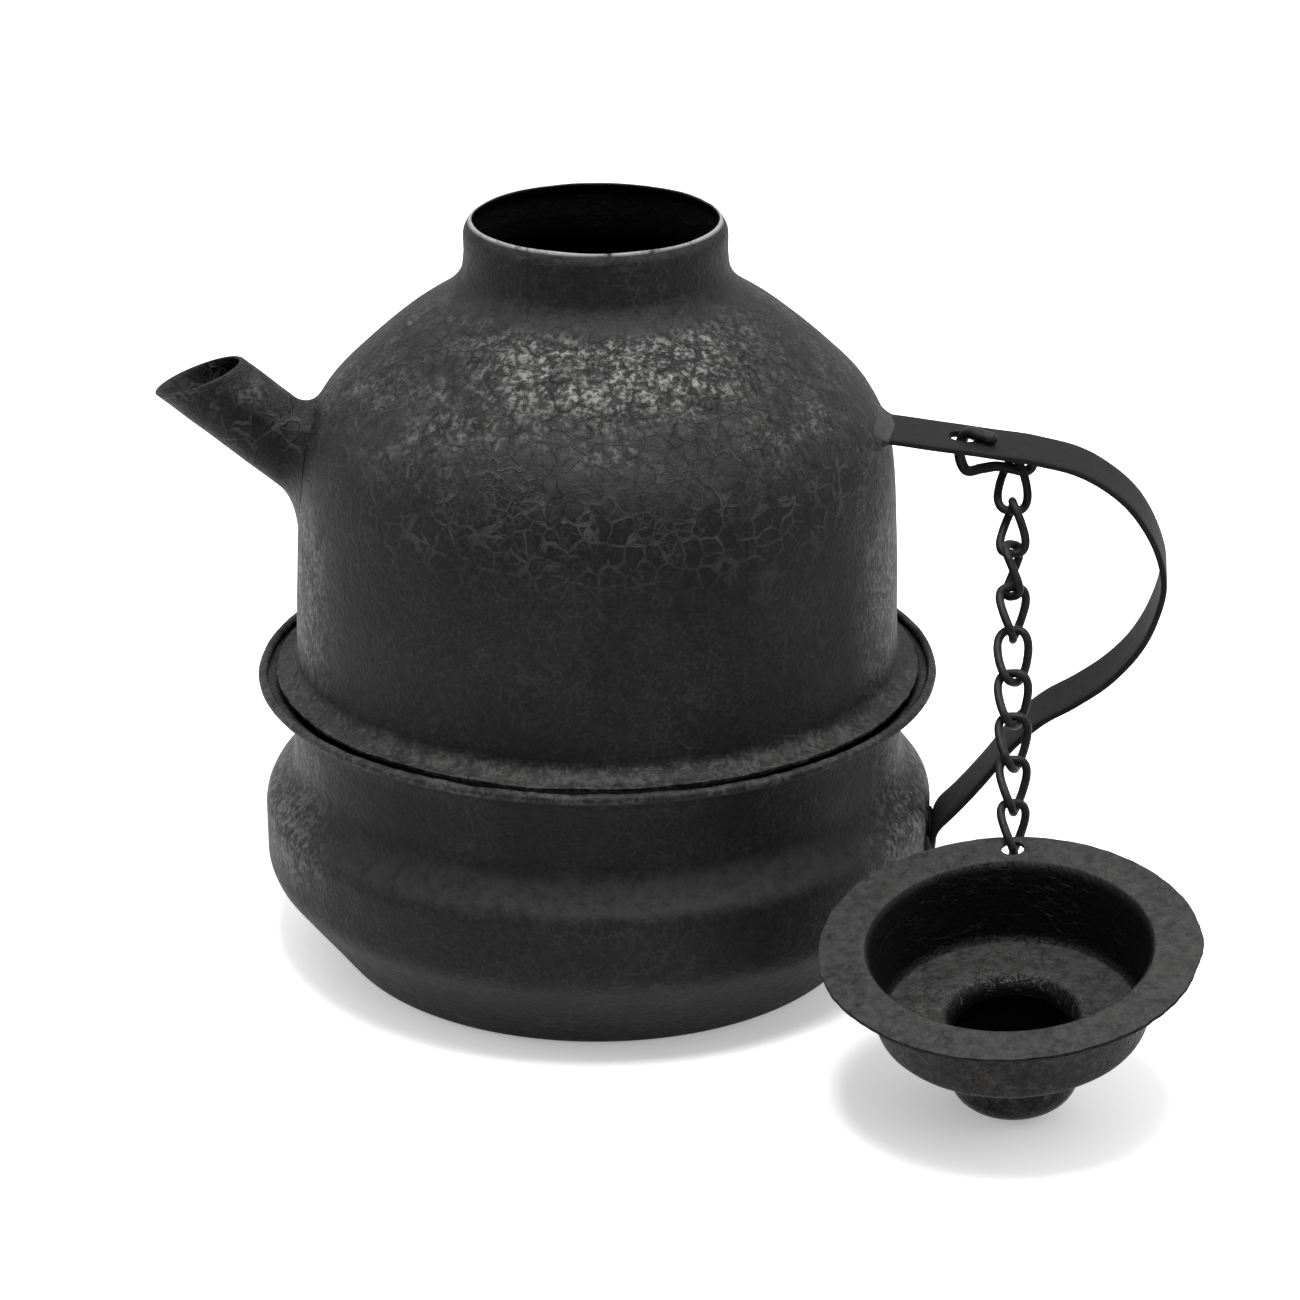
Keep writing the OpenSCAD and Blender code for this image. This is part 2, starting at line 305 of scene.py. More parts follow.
class Graph:
    """Short names for building one material's nodes."""

    def __init__(self, name):
        self.material = bpy.data.materials.new(name)
        self.material.use_nodes = True
        self.tree = self.material.node_tree
        self.shader = self.tree.nodes["Principled BSDF"]
        coordinates = self.new("ShaderNodeTexCoord")
        self.place, self.normal = coordinates.outputs["Object"], coordinates.outputs["Normal"]

    def new(self, kind, **values):
        node = self.tree.nodes.new(kind)
        for key, value in values.items():
            setattr(node, key, value)
        return node

    def link(self, source, socket):
        if hasattr(source, "is_output"):
            self.tree.links.new(source, socket)
        else:
            socket.default_value = source

    def math(self, operation, a, b=0.0, clamp=False):
        node = self.new("ShaderNodeMath", operation=operation, use_clamp=clamp)
        self.link(a, node.inputs[0])
        self.link(b, node.inputs[1])
        return node.outputs[0]

    def step(self, value, start, end):
        """0 below start and 1 above end, or the other way round if start is higher."""
        node = self.new("ShaderNodeMapRange", interpolation_type="SMOOTHSTEP")
        self.link(value, node.inputs["Value"])
        flip = start > end
        node.inputs["From Min"].default_value = min(start, end)
        node.inputs["From Max"].default_value = max(start, end)
        node.inputs["To Min"].default_value = 1.0 if flip else 0.0
        node.inputs["To Max"].default_value = 0.0 if flip else 1.0
        return node.outputs["Result"]

    def noise(self, size, detail=4.0, roughness=0.55, place=None):
        """Noise from 0 to 1 with features of about size millimetres."""
        node = self.new("ShaderNodeTexNoise")
        self.link(place if place is not None else self.place, node.inputs["Vector"])
        node.inputs["Scale"].default_value = 1 / (size * MM)
        node.inputs["Detail"].default_value = detail
        node.inputs["Roughness"].default_value = roughness
        return node

    def warped(self, size, amount):
        """The place, shifted by noise, so that cells drawn with it have crooked edges."""
        shift = self.new("ShaderNodeVectorMath", operation="SUBTRACT")
        self.link(self.noise(size, 2.0).outputs["Color"], shift.inputs[0])
        shift.inputs[1].default_value = (0.5, 0.5, 0.5)
        scale = self.new("ShaderNodeVectorMath", operation="SCALE")
        self.link(shift.outputs[0], scale.inputs[0])
        scale.inputs["Scale"].default_value = amount * MM
        add = self.new("ShaderNodeVectorMath", operation="ADD")
        self.link(self.place, add.inputs[0])
        self.link(scale.outputs[0], add.inputs[1])
        return add.outputs[0]

    def cells(self, size, place):
        """Distance to the nearest cell edge, and each cell's own random value."""
        edge = self.new("ShaderNodeTexVoronoi", feature="DISTANCE_TO_EDGE")
        centre = self.new("ShaderNodeTexVoronoi", feature="F1")
        for node in (edge, centre):
            self.link(place, node.inputs["Vector"])
            node.inputs["Scale"].default_value = 1 / (size * MM)
        return edge.outputs["Distance"], centre.outputs["Color"]

    def facing(self, centre):
        """How far the surface faces away from the vertical axis through centre: 1 outwards, -1 towards it."""
        arm = self.new("ShaderNodeVectorMath", operation="SUBTRACT")
        self.link(self.place, arm.inputs[0])
        arm.inputs[1].default_value = tuple(c * MM for c in centre)
        flat = self.new("ShaderNodeVectorMath", operation="MULTIPLY")
        self.link(arm.outputs[0], flat.inputs[0])
        flat.inputs[1].default_value = (1, 1, 0)
        unit = self.new("ShaderNodeVectorMath", operation="NORMALIZE")
        self.link(flat.outputs[0], unit.inputs[0])
        dot = self.new("ShaderNodeVectorMath", operation="DOT_PRODUCT")
        self.link(unit.outputs[0], dot.inputs[0])
        self.link(self.normal, dot.inputs[1])
        return dot.outputs["Value"]

    def axis(self, name):
        node = self.new("ShaderNodeSeparateXYZ")
        self.link(self.place, node.inputs[0])
        return node.outputs[name]

    def near(self, point, reach, soft):
        """1 within reach of a point in millimetres, fading to 0 over soft more."""
        node = self.new("ShaderNodeVectorMath", operation="DISTANCE")
        self.link(self.place, node.inputs[0])
        node.inputs[1].default_value = tuple(c * MM for c in point)
        return self.step(node.outputs["Value"], (reach + soft) * MM, reach * MM)

    def mix(self, factor, a, b):
        node = self.new("ShaderNodeMix", data_type="RGBA")
        self.link(factor, node.inputs["Factor"])
        self.link(a if hasattr(a, "is_output") else (*a, 1.0), node.inputs["A"])
        self.link(b if hasattr(b, "is_output") else (*b, 1.0), node.inputs["B"])
        return node.outputs["Result"]

    def bump(self, height, depth, under=None):
        node = self.new("ShaderNodeBump")
        node.inputs["Strength"].default_value = 1.0
        node.inputs["Distance"].default_value = depth * MM
        self.link(height, node.inputs["Height"])
        if under is not None:
            self.link(under, node.inputs["Normal"])
        return node.outputs["Normal"]


def add_up(g, values):
    total = values[0]
    for v in values[1:]:
        total = g.math("ADD", total, v)
    return total


def multiply(g, *values):
    total = values[0]
    for v in values[1:]:
        total = g.math("MULTIPLY", total, v)
    return total


def old_paint(name, dark, light, wear_and_sheen_colour, crackle, wear_and_sheen=None, rust=None, edge_wear=None,
              axis_at=None, spout_from=None, shine=None, rough_range=(0.46, 0.66), relief=1.0,
              cell_size=4.8, dust_and_top_light=0.68, inside_painted_shading=0.45):
    """Old black paint: mottled, gritty, crackled into cells with raised edges, and rubbed through in worn
    places.
    It holds painted light too: painted highlights as glints on the raised edges, painted shade beside them,
    upward faces lightened partly by a dusting and partly as painted light from above, and on the kettle a
    painted highlight and painted reflections among the worn places.

    crackle, wear_and_sheen, rust, edge_wear and shine are functions of the graph that give a mask from 0 to
    1.
    Faces that look towards the vertical axis through axis_at are the inside, and are painted a flat dark tone
    scaled by inside_painted_shading, as painted shading of the hollow, up to the spout at spout_from."""
    g = Graph(name)
    mottle = g.noise(26, 5.0, 0.6).outputs["Fac"]
    grain = g.noise(3.4, 4.0, 0.65).outputs["Fac"]
    grit = g.noise(1.0, 2.0, 0.7).outputs["Fac"]
    edge, tone = g.cells(cell_size, g.warped(7, 4.0))
    fine_edge, _ = g.cells(cell_size * 0.5, g.warped(3.5, 2.0))
    amount = crackle(g)
    broken = g.step(g.noise(6, 3.0).outputs["Fac"], 0.36, 0.56)
    ridge_and_glint = multiply(g, g.step(edge, 0.085, 0.03), amount, broken)
    crack = multiply(g, g.step(edge, 0.035, 0.01), amount)
    fine_area = g.step(g.noise(12, 2.0).outputs["Fac"], 0.42, 0.6)
    fine_ridge_and_glint = multiply(g, g.step(fine_edge, 0.1, 0.0), amount, fine_area)
    painted_shade_by_ridges = multiply(g, g.step(edge, 0.26, 0.08), amount)

    shade = add_up(g, [g.math("MULTIPLY", mottle, 0.7), g.math("MULTIPLY", grain, 0.6),
                       g.math("MULTIPLY", grit, 0.9)])
    colour = g.mix(g.step(shade, 0.85, 1.4), dark, light)
    speck = multiply(g, g.step(grit, 0.54, 0.68), g.step(mottle, 0.36, 0.6), 0.6)
    colour = g.mix(speck, colour, tuple(2.2 * c for c in light))
    # Upward faces are lightened in grainy patches, partly as settled dust and partly as painted light from
    # above; faces that don't point up stay darker.
    upward = g.new("ShaderNodeSeparateXYZ")
    g.link(g.normal, upward.inputs[0])
    dust_and_top_light_mask = multiply(g, g.step(upward.outputs["Z"], 0.1, 0.8), g.step(grain, 0.1, 0.7), dust_and_top_light)
    colour = g.mix(dust_and_top_light_mask, colour, tuple(3.4 * c for c in light))
    # Worn places take the wear colour; on the kettle this mask also holds a painted highlight on the shoulder
    # and painted reflections at the sides.
    if wear_and_sheen:
        flakes = add_up(g, [g.math("MULTIPLY", g.noise(1.5, 4.0, 0.75).outputs["Fac"], 0.65),
                            g.math("MULTIPLY", g.noise(6.0, 3.0, 0.6).outputs["Fac"], 0.35)])
        colour = g.mix(multiply(g, wear_and_sheen(g), g.step(flakes, 0.45, 0.62)), colour, wear_and_sheen_colour)
    # Painted shade: a soft darker band beside each crackle ridge.
    colour = g.mix(multiply(g, painted_shade_by_ridges, 0.3), colour, tuple(0.7 * c for c in dark))
    # Painted highlight: the crackle ridges and fine ridges are coloured much lighter, as glints on their
    # raised edges; the same masks also raise them in the bump below.
    colour = g.mix(g.math("MAXIMUM", multiply(g, ridge_and_glint, 0.5), multiply(g, fine_ridge_and_glint, 0.2)), colour,
                   tuple(8.0 * c for c in light))
    colour = g.mix(multiply(g, crack, 0.5, g.step(grain, 0.6, 0.4)), colour, tuple(0.5 * c for c in dark))
    if rust:
        rusty = multiply(g, rust(g), g.step(g.noise(2.4, 4.0, 0.7).outputs["Fac"], 0.55, 0.66))
        colour = g.mix(rusty, colour, RUST)
    if edge_wear:
        bare = multiply(g, edge_wear(g), g.step(g.noise(5, 3.0, 0.7).outputs["Fac"], 0.25, 0.5))
        colour = g.mix(bare, colour, tuple(1.5 * c for c in wear_and_sheen_colour))
    # Painted shade of the hollow: faces that look towards the axis are coloured a flat dark tone, scaled by
    # the factor passed in.
    if axis_at is not None:
        inside = g.step(g.facing(axis_at), -0.25, -0.6)
        if spout_from:
            inside = multiply(g, inside, g.step(g.axis("X"), (spout_from - 4) * MM, spout_from * MM))
        colour = g.mix(inside, colour, tuple(inside_painted_shading * c for c in dark))
    g.link(colour, g.shader.inputs["Base Color"])

    gloss = g.new("ShaderNodeMapRange")
    texture = g.math("ADD", g.math("MULTIPLY", grain, 0.6), g.math("MULTIPLY", grit, 0.4))
    g.link(texture, gloss.inputs["Value"])
    gloss.inputs["From Min"].default_value = 0.3
    gloss.inputs["From Max"].default_value = 0.7
    gloss.inputs["To Min"].default_value = rough_range[0]
    gloss.inputs["To Max"].default_value = rough_range[1]
    roughness = gloss.outputs["Result"]
    if shine:
        roughness = g.math("SUBTRACT", roughness, multiply(g, shine(g), 0.26))
    g.link(roughness, g.shader.inputs["Roughness"])
    g.shader.inputs["Specular IOR Level"].default_value = 0.1

    separate = g.new("ShaderNodeSeparateColor")
    g.link(tone, separate.inputs[0])
    tilt = multiply(g, separate.outputs[0], amount, 0.45)
    body = add_up(g, [g.math("MULTIPLY", grain, 1.1), multiply(g, ridge_and_glint, 1.5),
                      multiply(g, fine_ridge_and_glint, 0.6), tilt])
    body = g.math("SUBTRACT", body, multiply(g, crack, 0.9))
    normal = g.bump(body, 0.3 * relief)
    normal = g.bump(grit, 0.26 * relief, normal)
    g.link(normal, g.shader.inputs["Normal"])
    return g.material


def band(g, value, start, full, end_full, end):
    """1 between full and end_full in millimetres, fading to 0 at start and at end."""
    return multiply(g, g.step(value, start * MM, full * MM), g.step(value, end * MM, end_full * MM))


# Heights at which each kind of crackle, wear or painted light starts, is full, is last full and ends
CRACKLE_BAND = (116, 142, 168, 175)
SHOULDER_WEAR_AND_HIGHLIGHT_BAND = (152, 163, 168, 173)
AROUND_BAND = (138, 154, 168, 175)
DOME_SIDE_SHEEN_BAND = (76, 88, 116, 130)
SEAM_BAND = (71, 73.2, 77, 80)
BOWL_SIDE_SHEEN_BAND = (26, 40, 62, 70)


def body_crackle(g):
    """Strong over the dome's shoulder and upper wall, weaker below and on the neck."""
    z = g.axis("Z")
    patchy = g.step(g.noise(30, 2.0).outputs["Fac"], 0.34, 0.55)
    low_area = multiply(g, g.step(g.noise(24, 3.0).outputs["Fac"], 0.48, 0.6), 0.16)
    strong = multiply(g, band(g, z, *CRACKLE_BAND), g.math("ADD", multiply(g, patchy, 0.75), 0.25))
    return g.math("ADD", g.math("MAXIMUM", strong, low_area), 0.05, clamp=True)


def body_wear_and_sheen(g):
    """Rubbed places and painted light: the front of the shoulder, worn and also a painted highlight; patches
    round it;
    a faint band at the seam; and the left and right sides above and below the seam, lightened as painted
    reflections.
    """
    z, x, y = g.axis("Z"), g.axis("X"), g.axis("Y")
    side = g.math("ABSOLUTE", x)
    from_patch = g.math("ABSOLUTE", g.math("SUBTRACT", x, 5 * MM))
    # Front of the shoulder: wear, and also a painted highlight where the overhead light is reflected.
    shoulder_wear_and_highlight = multiply(g, g.step(from_patch, 46 * MM, 12 * MM), band(g, z, *SHOULDER_WEAR_AND_HIGHLIGHT_BAND),
                        g.step(y, -12 * MM, -30 * MM))
    patches = g.step(g.noise(14, 3.0).outputs["Fac"], 0.42, 0.62)
    around = multiply(g, band(g, z, *AROUND_BAND), patches, 0.36)
    # Painted reflection: lighter bands on the left and right sides of the dome and bowl, set by the distance
    # across, as grazing reflections.
    dome_side_sheen = multiply(g, g.step(side, 60 * MM, 73 * MM), g.step(side, 80 * MM, 76 * MM),
                          band(g, z, *DOME_SIDE_SHEEN_BAND), 0.5)
    seam = multiply(g, band(g, z, *SEAM_BAND), 0.15)
    bowl_side_sheen = multiply(g, g.step(side, 62 * MM, 78 * MM), band(g, z, *BOWL_SIDE_SHEEN_BAND), 0.5)
    total = g.math("MAXIMUM", g.math("MAXIMUM", shoulder_wear_and_highlight, seam), around)
    total = g.math("MAXIMUM", total, dome_side_sheen)
    return g.math("MAXIMUM", total, bowl_side_sheen)


def rim_wear(g):
    return multiply(g, g.step(g.axis("Z"), (RIM_Z - 1.3) * MM, (RIM_Z - 0.5) * MM), 0.8)


def cap_crackle(g):
    return multiply(g, g.step(g.noise(12, 2.0).outputs["Fac"], 0.36, 0.6), 0.42)


def cap_floor(g):
    """The cap's floor, which is still glossy."""
    return g.near((CAP_XY[0], CAP_XY[1], CAP_Z - CAP_DEPTH - 4), 26, 5)


def cap_wear(g):
    """A little everywhere, and most round the opening of the hollow knob."""
    ring = g.near((CAP_XY[0], CAP_XY[1], CAP_Z - CAP_DEPTH), 17, 7)
    return g.math("ADD", multiply(g, ring, 0.3), 0.16)


def some_rust(g):
    return multiply(g, g.step(g.noise(9, 2.0).outputs["Fac"], 0.58, 0.7), 0.45)


def faint(g):
    return 0.12


DARK = (0.0018, 0.0018, 0.0018)
LIGHT = (0.0078, 0.0077, 0.0076)
# Bare steel, also used as the painted sheen on the kettle's shoulder and sides.
BARE_STEEL_AND_SHEEN = (0.17, 0.168, 0.165)
STRAP_WORN = (0.06, 0.06, 0.06)
DULL_STEEL = (0.05, 0.05, 0.05)
CAP_WORN = (0.085, 0.082, 0.08)
RUST = (0.075, 0.036, 0.022)
kettle_paint = old_paint("kettle_paint", DARK, LIGHT, BARE_STEEL_AND_SHEEN, body_crackle, body_wear_and_sheen,
                         edge_wear=rim_wear, axis_at=(0, 0, 0), spout_from=-72)
strap_black = old_paint("strap_black", (0.003, 0.003, 0.0031), (0.005, 0.005, 0.0051), STRAP_WORN,
                        faint, rough_range=(0.62, 0.72), relief=0.35, dust_and_top_light=0.3)
weld_black = old_paint("weld_black", (0.006, 0.006, 0.006), (0.014, 0.014, 0.014), DULL_STEEL,
                       faint, lambda g: 0.2, relief=0.8)
chain_black = old_paint("chain_black", (0.0035, 0.0035, 0.0036), (0.008, 0.008, 0.0083), DULL_STEEL,
                        faint, rough_range=(0.38, 0.55), relief=0.4)
# The cap's hollow is painted a flat tone for its light and shade, and its upward faces are lightened in full,
# partly as dust and partly as painted light from above.
cap_paint = old_paint("cap_paint", (0.002, 0.0019, 0.0019), (0.0088, 0.0086, 0.0085), CAP_WORN,
                      cap_crackle, cap_wear, some_rust, axis_at=(*CAP_XY, 0), shine=cap_floor,
                      rough_range=(0.45, 0.64), cell_size=3.8, dust_and_top_light=1.0, inside_painted_shading=1.6)

# ---------------------------------------------------------------- kettle body


def dent(p):
    """Slow hand-made unevenness of the sheet, as a push away from the axis."""
    r = math.hypot(p[0], p[1])
    if r < 1:
        return p
    even = min(1.0, r / 40)
    push = even * (0.35 * rough(p, 38, 1.7) + 0.12 * rough(p, 13, 4.1))
    return np.array([p[0] * (1 + push / r), p[1] * (1 + push / r), p[2]])


def bowl_shape(p):
    """Dents, with the hem's edge wavier than the rest and the base kept flat."""
    q = dent(p)
    lift = clamp(p[2] - SEAM_Z)
    q[2] += lift * (0.35 * rough((p[0], p[1], 0), 9, 2.2) + 0.4 * rough((p[0], p[1], 0), 3.5, 5.2))
    if p[2] < 8:
        still = p[2] / 8
        q = p + (q - p) * still
    return q


def dome_shape(p):
    """Dents, with the foot's edge and the neck's rim a little uneven."""
    q = dent(p)
    foot = clamp((SEAM_Z + 4 - p[2]) / 3)
    q[2] += foot * 0.25 * rough((p[0], p[1], 0), 7, 8.2)
    near_seam = clamp((SEAM_Z + 7 - p[2]) / 4)
    r = max(math.hypot(p[0], p[1]), 1.0)
    q[:2] *= 1 + near_seam * (0.3 * rough(p, 3.2, 4.4) + 0.16 * rough(p, 1.6, 9.7)) / r
    rim = clamp((p[2] - RIM_Z + 4) / 4)
    q[2] -= rim * 0.22 * (1 + rough((p[0], p[1], 0), 10, 6.4))
    return q


turn_r = 8
fold_r = 1.25
shoulder_turn = 40
bulge_high_z = 38.7
shoulder_run = ((BULGE_R - WAIST_R - 2 * turn_r * (1 - math.cos(math.radians(shoulder_turn))))
                / math.sin(math.radians(shoulder_turn)))
waist_z = (bulge_high_z + 2 * turn_r * math.sin(math.radians(shoulder_turn))
           + shoulder_run * math.cos(math.radians(shoulder_turn)))
fold_x = SEAM_R - fold_r
flare_r = fold_x - WAIST_R
bowl_face = ([(0, 0)] + arc((BASE_R, 5), 5, -90, -38) + arc((BULGE_R - 10, 27.6), 10, -38, 0)
             + arc((BULGE_R - turn_r, bulge_high_z), turn_r, 0, shoulder_turn)
             + arc((WAIST_R + turn_r, waist_z), turn_r, 180 + shoulder_turn, 180)
             + arc((fold_x, SEAM_Z - 0.9 - fold_r - flare_r), flare_r, 180, 92)
             + arc((fold_x, SEAM_Z - 0.5), fold_r, -90, 150, 14))
bowl = revolve("bowl", sheet_outline(resample(bowl_face, 1.4), SHEET), 360, bowl_shape)
place_piece(bowl, "root", "kettle_paint", kettle_paint, "base_bowl")

foot_r = 4.6
foot_z = SEAM_Z + 0.9
dome_face = ([(WALL_R + foot_r + 0.5, foot_z - 0.9), (WALL_R + foot_r + 0.55, foot_z - 0.2)]
             + arc((WALL_R + foot_r, foot_z + foot_r), foot_r, 270, 182)
             + curve([(WALL_R, foot_z + foot_r), (74.4, 106), (72.8, 131), (68.1, 144), (58.8, 154.3),
                      (47, 164.5), (37.2, 171.2), (33, 176.2), (NECK_R, 181.5)], 8)
             + curve([(NECK_R, 182), (NECK_R, RIM_Z - 3.7), (NECK_R - 0.7, RIM_Z - 1.7),
                      (NECK_R - 1.5, RIM_Z - 0.45)], 4))
dome = revolve("dome", sheet_outline(resample(dome_face, 1.3), SHEET), 400, dome_shape)
cut(dome, bore(SPOUT_ROOT, SPOUT_AXIS, SPOUT_R - SPOUT_WALL, 26))
place_piece(dome, "root", "kettle_paint", kettle_paint, "dome_shell")

wall_path = np.array(dome_face)


def dome_radius(z):
    """Radius of the dome's outer face at a height."""
    return float(np.interp(z, wall_path[2:, 1], wall_path[2:, 0]))


def reach_dome(start, direction, span=60):
    """Where a line from outside first meets the dome's outer face."""
    start, direction = np.array(start, float), np.array(direction, float)
    inside, outside = 0.0, span
    for _ in range(40):
        middle = (inside + outside) / 2
        p = start - direction * middle
        if math.hypot(p[0], p[1]) > dome_radius(p[2]):
            inside = middle
        else:
            outside = middle
    return start - direction * inside


# The spout: outer and inner walls, from inside the dome's skin to the sloping mouth
spout_side = np.array([0, 1.0, 0])
spout_over = np.cross(SPOUT_AXIS, spout_side)
mouth_point = SPOUT_ROOT + SPOUT_REACH * SPOUT_AXIS
mouth_normal = np.array([-math.sin(MOUTH_SLOPE), 0, math.cos(MOUTH_SLOPE)])
SPOUT_STEPS = 96


def spout_dir(a):
    return spout_side * math.cos(a) + spout_over * math.sin(a)


def mouth_s(offset):
    """Distance along the axis at which a wall line meets the mouth's plane."""
    return np.dot(mouth_point - SPOUT_ROOT - offset, mouth_normal) / np.dot(SPOUT_AXIS, mouth_normal)


def make_spout():
    turns = np.linspace(0, 2 * math.pi, SPOUT_STEPS, endpoint=False)
    rows = []
    inner_r = SPOUT_R - SPOUT_WALL
    start = -SPOUT_BURIED
    for s_part in np.linspace(0, 1, 26):
        rows.append((SPOUT_R, s_part, 0.0))
    rows += [(SPOUT_R - 0.15, 1.0, 0.25), (SPOUT_R - 0.5, 1.0, 0.36), (inner_r + 0.15, 1.0, 0.25)]
    for s_part in np.linspace(1, 0, 26):
        rows.append((inner_r, s_part, 0.0))
    points = []
    for r, part, lift in rows:
        for a in turns:
            out = spout_dir(a)
            top = mouth_s(out * r) - 0.3
            s = start + (top - start) * part + lift
            ripple = 0.1 * rough(SPOUT_ROOT + SPOUT_AXIS * s + out * r, 8, 3.3)
            points.append(SPOUT_ROOT + SPOUT_AXIS * s + out * (r + ripple))
    return add_object("spout", points, grid_faces(len(rows), SPOUT_STEPS, True, True))


place_piece(make_spout(), "root", "kettle_paint", kettle_paint, "spout_tube")


def root_fillet(name, outline, axis, size, lump, seed, steps=9):
    """A lumpy fillet where a bar meets the dome. outline is a list of points on the bar, each with the
    direction that points away from it; axis points out along the bar."""
    points = []
    n = len(outline)
    for i, (p, away) in enumerate(outline):
        turn = 2 * math.pi * i / n
        grow = size * (1 + lump * rough((math.cos(turn) * 2, math.sin(turn) * 2, seed), 0.9, seed))
        corner = reach_dome(p + axis * 20, axis)
        on_bar = corner + axis * grow
        on_dome = reach_dome(p + away * grow + axis * 20, axis)
        inside_bar = corner - away * 0.5 + axis * (grow - 0.3)
        inside_dome = on_dome - axis * 0.7
        buried = corner - away * 0.5 - axis * 0.9
        pulled = corner + (away + axis) * 0.12 * grow
        row = [(1 - t) ** 2 * on_bar + 2 * t * (1 - t) * pulled + t ** 2 * on_dome
               for t in np.linspace(0, 1, steps)]
        points += [inside_bar - away * 0.1] + row + [inside_dome, buried]
    return add_object(name, points, grid_faces(n, steps + 3, True, True))


spout_outline = [(SPOUT_ROOT + spout_dir(a) * (SPOUT_R - 0.05), spout_dir(a))
                 for a in np.linspace(0, 2 * math.pi, 120, endpoint=False)]
place_piece(root_fillet("spout_fillet", spout_outline, SPOUT_AXIS, 5.2, 0.22, 2.4), "root", "kettle_paint",
            kettle_paint, "spout_braze")

# ---------------------------------------------------------------- handle


def turn_handle(p):
    c, s = math.cos(HANDLE_TURN), math.sin(HANDLE_TURN)
    return np.array([c * p[0] - s * p[1], s * p[0] + c * p[1], p[2]])


strap_face = (curve([(BULGE_R + 1.7, 25.5), (BULGE_R + 1.8, 31), (87.2, 35.2), (91.5, 40.2),
                     (99.2, 49.8), (105, 58.2), (112, 65.2), (120, 70.4), (128, 76.6), (134.5, 84.2),
                     (138.8, 93.2), (140.8, 103), (138.6, 112.6), (133.2, 121.8), (125.8, 128.5),
                     (117, 132.8), STRAP_TOP_OUT], 8)
              + [np.array(STRAP_TOP_IN), np.array([69.8, 139.33])])


def strap_section(half_w, half_t, corner=0.5, corner_steps=4):
    """A flat bar's section with round corners, as (across, through) pairs."""
    out = []
    for cx, cy, a0 in ((1, 1, 0), (-1, 1, 90), (-1, -1, 180), (1, -1, 270)):
        centre = (cx * (half_w - corner), cy * (half_t - corner))
        out += arc(centre, corner, a0, a0 + 90, corner_steps)
        flat = 6
        if cy == 1 and cx == 1:
            out += [((half_w - corner) * (1 - 2 * k / flat), half_t) for k in range(1, flat)]
        if cy == -1 and cx == -1:
            out += [(-(half_w - corner) * (1 - 2 * k / flat), -half_t) for k in range(1, flat)]
    return out


def make_strap():
    path = np.array(resample(strap_face, 1.3))
    ahead = np.vstack([path[1:], path[-1:]])
    behind = np.vstack([path[:1], path[:-1]])
    d = ahead - behind
    d /= np.linalg.norm(d, axis=1)[:, None]
    outward = np.stack([d[:, 1], -d[:, 0]], 1)
    middle = path - outward * STRAP_T / 2
    run = np.concatenate([[0], np.cumsum(np.linalg.norm(np.diff(path, axis=0), axis=1))])
    rows = []
    for i in range(len(path)):
        taper = min(1.0, 0.42 + 0.58 * (run[i] / 6.5) ** 0.8)
        half_w = STRAP_W / 2 * taper
        for across, through in strap_section(half_w, STRAP_T / 2 * (0.75 if i == 0 else 1.0)):
            q = middle[i] + outward[i] * through
            p = np.array([q[0], across, q[1]])
            face_push = 0.14 * rough((run[i], across * 0.5, 0), 11, 7.7)
            p += face_push * np.array([outward[i][0], 0, outward[i][1]])
            p[1] += 0.16 * rough((run[i], np.sign(across) * 3, 2), 14, 3.1) * abs(across) / half_w
            rows.append(turn_handle(p))
    section = len(strap_section(STRAP_W / 2, STRAP_T / 2))
    faces = grid_faces(len(path), section, False, True)
    faces.append(tuple(range(section)))
    faces.append(tuple((len(path) - 1) * section + k for k in reversed(range(section))))
    return add_object("strap", rows, faces)


hole_axis = turn_handle((math.sin(STRAP_SLOPE), 0, math.cos(STRAP_SLOPE)))
strap = make_strap()
cut(strap, bore(HOOK_HOLE, hole_axis, HOOK_HOLE_R, 10))
place_piece(strap, "root", "strap_black", strap_black, "handle_strap")

strap_axis = turn_handle((math.cos(STRAP_SLOPE), 0, -math.sin(STRAP_SLOPE)))
strap_across = turn_handle((0, 1, 0))
strap_up = np.cross(strap_axis, strap_across)
strap_end = turn_handle((STRAP_TOP_IN[0], 0, STRAP_TOP_IN[1])) - strap_up * STRAP_T / 2 * np.sign(strap_up[2])


def strap_outline(per_side=34):
    """Points round the strap's section near its top end, with the direction away from it at each."""
    out = []
    half_w, half_t, corner = STRAP_W / 2 - 0.1, STRAP_T / 2 - 0.05, 0.55
    section = strap_section(half_w, half_t, corner, 5)
    for k, (across, through) in enumerate(section):
        inner = np.array([np.clip(across, -half_w + corner, half_w - corner),
                          np.clip(through, -half_t + corner, half_t - corner)])
        away = np.array([across, through]) - inner
        away /= max(np.linalg.norm(away), 1e-6)
        p = strap_end + strap_across * across + strap_up * through
        out.append((p, strap_across * away[0] + strap_up * away[1]))
    return out


place_piece(root_fillet("strap_top_weld", strap_outline(), strap_axis, 2.6, 0.35, 5.6), "root", "weld_black",
            weld_black, "handle_top_braze")


